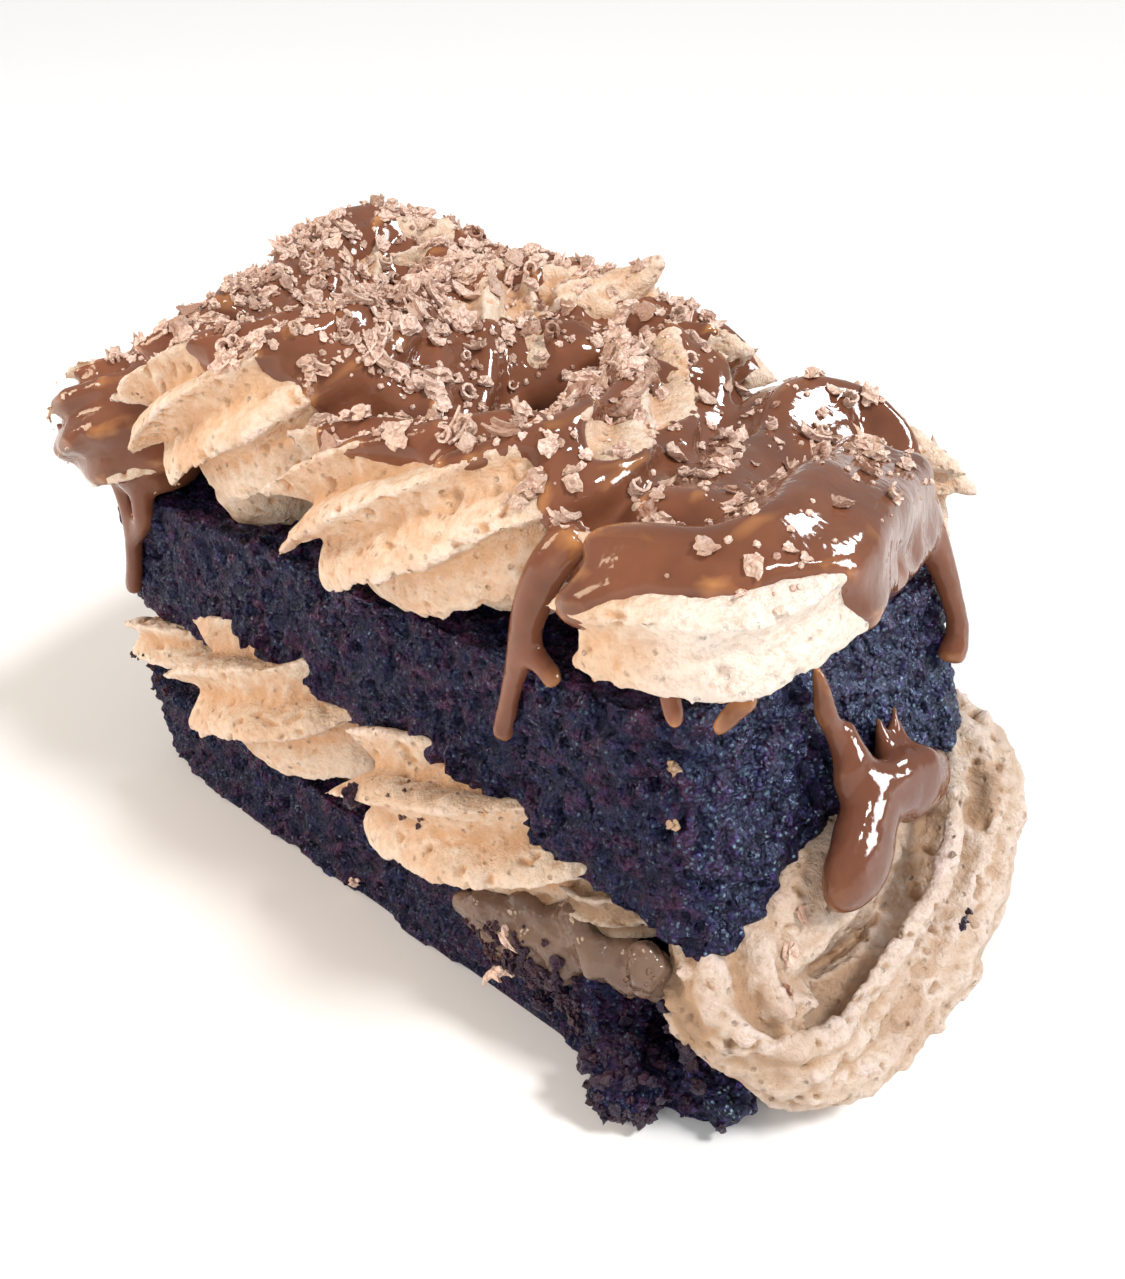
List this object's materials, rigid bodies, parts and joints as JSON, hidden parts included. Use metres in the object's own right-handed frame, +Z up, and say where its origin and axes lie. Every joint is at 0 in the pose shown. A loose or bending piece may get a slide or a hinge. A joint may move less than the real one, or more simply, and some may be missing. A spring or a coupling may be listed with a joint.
{
  "type": "slab of layered chocolate custard cake",
  "caption": "Slab of layered dark chocolate sponge with a custard layer, piped cream in the middle and on top, chocolate glaze runs and chocolate flakes.",
  "frame": {"origin": "middle of the lower sponge's underside, on the plane it stands on", "axes": "+X along the slab to the end with the broken corner, +Y across to the back, +Z up"},
  "size_m": [0.1762, 0.0853, 0.1028],
  "materials": {
    "sponge": "rough dark crumb",
    "cream": "satin, finely pitted",
    "custard": "wet gloss",
    "glaze": "high gloss",
    "flakes": "dull, dusty"
  },
  "bodies": {
    "root": {"lower_sponge": "sponge", "upper_sponge": "sponge", "custard_layer": "custard", "top_cream_1": "cream", "top_cream_2": "cream", "top_cream_3": "cream", "top_cream_4": "cream", "filling_cream_1": "cream", "filling_cream_2": "cream", "filling_cream_3": "cream", "filling_cream_4": "cream", "end_cream": "cream"}
  },
  "joints": []
}
